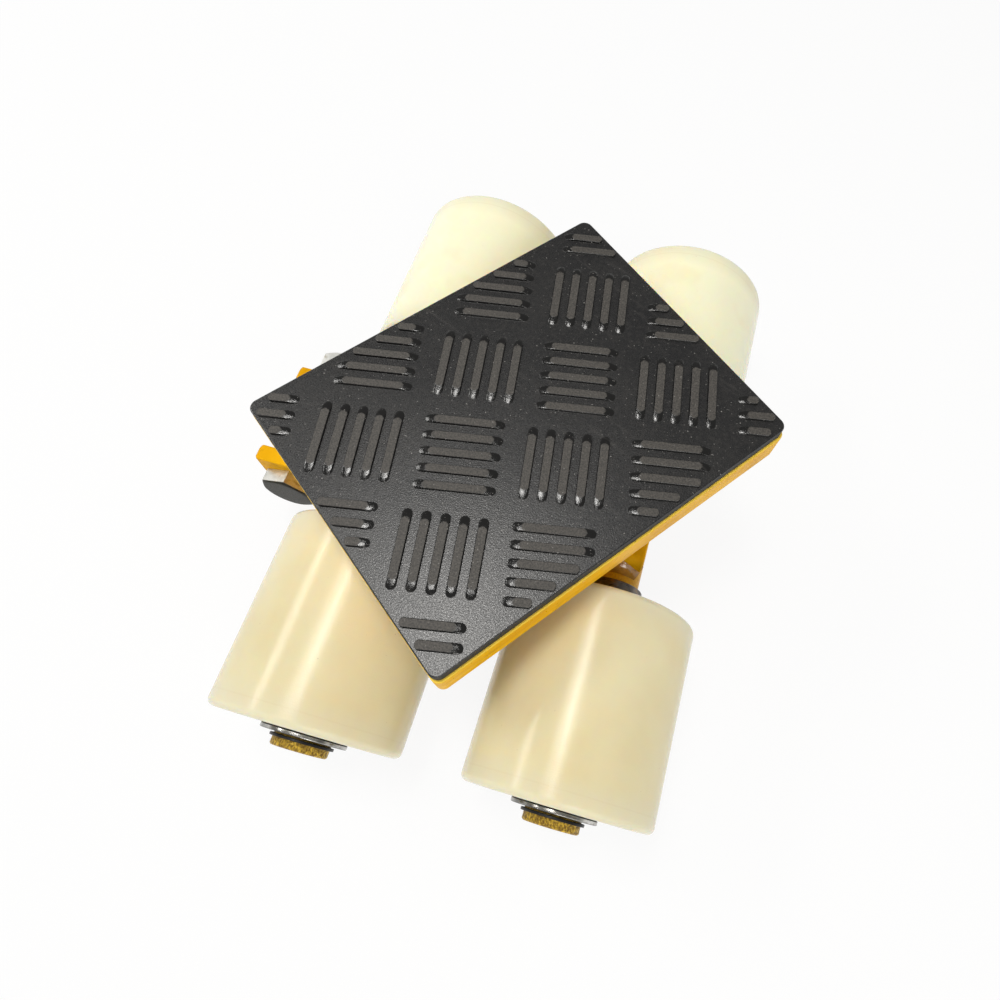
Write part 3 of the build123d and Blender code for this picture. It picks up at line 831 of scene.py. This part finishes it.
bolt = traced("tow_bolt")
cut_away(bolt, THREAD_START)
core = (
    (THREAD_START - CORE_OVERLAP, 0),
    (THREAD_START - CORE_OVERLAP, THREAD_ROOT),
    (THREAD_END - CORE_OVERLAP, THREAD_ROOT),
    (THREAD_END + TIP_LENGTH, THREAD_ROOT - TIP_CHAMFER),
    (THREAD_END + TIP_LENGTH, 0),
)
ridge = bmesh.new()
thread_ridge(ridge)
turned(ridge, core, BOLT_X, BOLT_Z, 48, closed=False)
thread_mesh = bpy.data.meshes.new("thread")
ridge.to_mesh(thread_mesh)
ridge.free()
bolt.from_mesh(thread_mesh)
bpy.data.meshes.remove(thread_mesh)
settle_shading(stand_in(bolt, bolt_zinc, "tow_bolt"))
softened("tow_nut", zinc, 0.35 * MM)
softened("tow_bolt_washer", zinc, 0.40 * MM)

# %% [markdown]
# ## Welds
# The axles are welded to the sides of the channel with a broad fillet that fills the corner between
# them. Its section is a corner with a rounded-over face, drawn once and spun part of the way round the
# axle. The lugs have an upright bead each: circles set along a line, each with its own slight swell,
# and neighbouring circles bridged.

# %% Welds
FILLET_SECTION = (
    (-3.0 * MM, 11.9 * MM),
    (4.6 * MM, 11.9 * MM),
    (1.6 * MM, 14.4 * MM),
    (-3.0 * MM, 16.4 * MM),
)
FILLET_ROUNDING = 2.0 * MM
DEGREES_PER_STEP = 5
REAR_FILLET = (44, 188)
FRONT_FILLET = (-20, 335)
BEAD_X = -98.6 * MM
BEAD_Y = 28.4 * MM
BEAD_FOOT = 24.0 * MM
BEAD_STEP = 1.0 * MM
BEAD_CIRCLES = 27
BEAD_WIDTH = 3.0 * MM
BEAD_SWELL = 0.10
BEAD_END_SHARE = 0.55
channel_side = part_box("frame_channel")[1].y


def weld_fillet(shape, line_x, line_z, side, start, end):
    """Spin a bulging corner section about an axle between two angles, in degrees from +X to +Z."""
    turn = Matrix.Rotation(-radians(start), 3, "Y")
    foot = Vector((line_x, 0, line_z))
    points = []
    for outward, reach in FILLET_SECTION:
        station = Vector((0, side * (channel_side + outward), 0))
        points.append(shape.verts.new(foot + turn @ Vector((reach, 0, 0)) + station))
    shape.faces.new(points)
    bmesh.ops.bevel(
        shape, geom=[points[2]], affect="VERTICES", offset=FILLET_ROUNDING, offset_type="OFFSET",
        segments=5, profile=0.5, material=-1,
    )
    lone = [face for face in shape.faces if all(len(edge.link_faces) == 1 for edge in face.edges)]
    first = lone[-1]
    bmesh.ops.spin(
        shape, geom=[first, *first.edges, *first.verts], cent=foot, axis=(0, 1, 0),
        angle=-radians(end - start), steps=int(abs(end - start) / DEGREES_PER_STEP),
    )


def weld_bead(shape, spots):
    """Bridge level circles set on points one above the other into a bead with closed ends."""
    previous = None
    for number, spot in enumerate(spots):
        swell = 1 + BEAD_SWELL * cos(number * pi / 2)
        closing = BEAD_END_SHARE if number in (0, len(spots) - 1) else 1.0
        circle = bmesh.ops.create_circle(
            shape, cap_ends=closing < 1, segments=12, radius=BEAD_WIDTH / 2 * swell * closing,
            matrix=Matrix.Translation(spot),
        )
        rim = {edge for vert in circle["verts"] for edge in vert.link_edges if not edge.is_contiguous}
        rim = [edge for edge in rim if all(end in circle["verts"] for end in edge.verts)]
        if previous:
            bmesh.ops.bridge_loops(shape, edges=previous + rim)
        previous = rim


for side, hand in ((-1, "left"), (1, "right")):
    welds = bmesh.new()
    weld_fillet(welds, axle_x, axle_z, side, *REAR_FILLET)
    weld_fillet(welds, -axle_x, axle_z, side, *FRONT_FILLET)
    heights = [BEAD_FOOT + number * BEAD_STEP for number in range(BEAD_CIRCLES)]
    weld_bead(welds, [Vector((BEAD_X, side * BEAD_Y, height)) for height in heights])
    bmesh.ops.recalc_face_normals(welds, faces=welds.faces)
    place(welds, "welds_" + hand, weld_paint, "frame")

# %% [markdown]
# ## Nodes that keep their CAD shape
# The top plate's rims are already rounded in the solid. Balls, cages, the spacer sleeves and the brass
# bush are right as they are too, so all of these only get a finish on their own material slots.

# %% Nodes that keep their CAD shape
kept = {"top_plate": enamel, "pivot_bush": brass, "thrust_cage": brass, "thrust_balls": ball_steel}
for corner in corners:
    kept["bearing_balls_" + corner] = ball_steel
    kept["bearing_cages_" + corner] = cage_plastic
    kept["bearing_sleeve_" + corner] = turned_steel
for node, finish in kept.items():
    frame["nodes"][node].data.materials[0] = finish
print("kept nodes:", len(kept))

# %% [markdown]
# ## Floor and world
# A plain pale floor runs to the horizon. To the camera, and in reflections, most of it is a steady
# white, and the rest is a white diffuse surface that still takes the dolly's soft shadow. The world is a
# pale studio: white at the horizon and greyer overhead, so that the flat pad doesn't mirror a white
# ceiling. The camera itself sees it white all over.

# %% Floor and world
FLOOR_HALF = 4.0
STEADY_SHARE = 0.90
OVERHEAD_BRIGHTNESS = 0.29
floor_shape = bmesh.new()
bmesh.ops.create_grid(floor_shape, x_segments=1, y_segments=1, size=FLOOR_HALF)
floor_mesh = bpy.data.meshes.new("studio_floor")
floor_shape.to_mesh(floor_mesh)
floor_shape.free()
studio_floor = bpy.data.objects.new("studio_floor", floor_mesh)
bpy.context.scene.collection.objects.link(studio_floor)


def pale_floor():
    """White for the camera and for reflections, with a share left over for shadows."""
    material = bpy.data.materials.new("pale_floor")
    material.use_nodes = True
    tree = material.node_tree
    tree.nodes.clear()
    path = add(tree, "LightPath")
    seen = combine(tree, "MAXIMUM", path.outputs["Is Camera Ray"], path.outputs["Is Glossy Ray"])
    seen = combine(tree, "MAXIMUM", seen, path.outputs["Is Transmission Ray"])
    share = combine(tree, "MULTIPLY", seen, STEADY_SHARE)
    matte = add(tree, "BsdfDiffuse", {"Color": (0.86, 0.86, 0.86, 1)})
    steady = add(tree, "Emission", {"Color": (1, 1, 1, 1), "Strength": 1.0})
    mixed = add(tree, "MixShader", {0: share, 1: matte.outputs[0], 2: steady.outputs[0]})
    add(tree, "OutputMaterial", {"Surface": mixed.outputs[0]})
    return material


floor_mesh.materials.append(pale_floor())
world = bpy.data.worlds.new("pale_studio")
bpy.context.scene.world = world
world.use_nodes = True
sky = world.node_tree
direction = add(sky, "TexCoord").outputs["Generated"]
rise = add(sky, "SeparateXYZ", {0: direction}).outputs["Z"]
brightness = level(sky, rise, 0.08, 0.30, 1.0, OVERHEAD_BRIGHTNESS)
brightness = combine(sky, "MAXIMUM", brightness, add(sky, "LightPath").outputs["Is Camera Ray"])
sky.links.new(brightness, sky.nodes["Background"].inputs["Strength"])
sky.nodes["Background"].inputs["Color"].default_value = (1.0, 0.99, 0.97, 1)
print("floor and world ready")

# %% [markdown]
# ## Lamps
# Highlights tell where the lamps hang. A narrow one nearly overhead draws the bright streaks along the
# rollers, and a square panel beside it gives the pad its sheen. One to the left draws a second, fainter
# streak on the rollers and lights the ends of the bars. In front, a broad fill opens the shadows and a
# small lamp puts a glint on the welds. Each lamp is given by its direction from the dolly, so it is easy
# to move.

# %% Lamps
LAMP_DISTANCE = 1.3
LAMP_COLOUR = (1.0, 0.985, 0.955)
aim_point = Vector((0, 0, 0.06))


def lamp(name, direction, width, length, power, along):
    """A rectangular lamp in a direction from the dolly, its length along a given line."""
    data = bpy.data.lights.new(name, "AREA")
    data.shape = "RECTANGLE"
    data.size = width
    data.size_y = length
    data.energy = power
    data.color = LAMP_COLOUR
    outward = Vector(direction).normalized()
    side = Vector(along).cross(outward).normalized()
    up = outward.cross(side)
    turn = Matrix((side, up, outward)).transposed()
    holder = bpy.data.objects.new(name, data)
    holder.matrix_world = Matrix.Translation(aim_point + outward * LAMP_DISTANCE) @ turn.to_4x4()
    bpy.context.scene.collection.objects.link(holder)


lamp("overhead_strip", (-0.15, 0.08, 0.98), 0.07, 0.42, 2.2, (0, 1, 0))
lamp("overhead_panel", (-0.17, 0.05, 0.97), 0.45, 0.40, 5.3, (0, 1, 0))
lamp("left_lamp", (-0.75, 0.10, 0.65), 0.20, 0.60, 4.4, (0, 1, 0))
lamp("front_fill", (0.50, -0.75, 0.45), 1.2, 0.8, 3.6, (0, 0, 1))
lamp("front_glint", (0.30, -0.62, 0.72), 0.50, 0.22, 2.6, (0, 0, 1))
print("lamps:", len(bpy.data.lights))

# %% [markdown]
# ## Camera
# The camera looks down from the left-hand rollers' side at about twenty degrees off the vertical, close
# and with a wide lens. A small shift keeps the framing without turning the camera.

# %% Camera
camera_data = bpy.data.cameras.new("photo_camera")
camera_data.lens = 24.13
camera_data.sensor_width = 36.0
camera_data.shift_x = -0.0651
camera_data.shift_y = 0.0169
camera = bpy.data.objects.new("photo_camera", camera_data)
camera.location = (0.04504, -0.13740, 0.35376)
camera.rotation_euler = (radians(22.232), radians(-2.666), radians(15.389))
bpy.context.scene.collection.objects.link(camera)
bpy.context.scene.camera = camera
bpy.context.scene.view_settings.view_transform = "Standard"
print("camera at", tuple(round(value, 3) for value in camera.location))
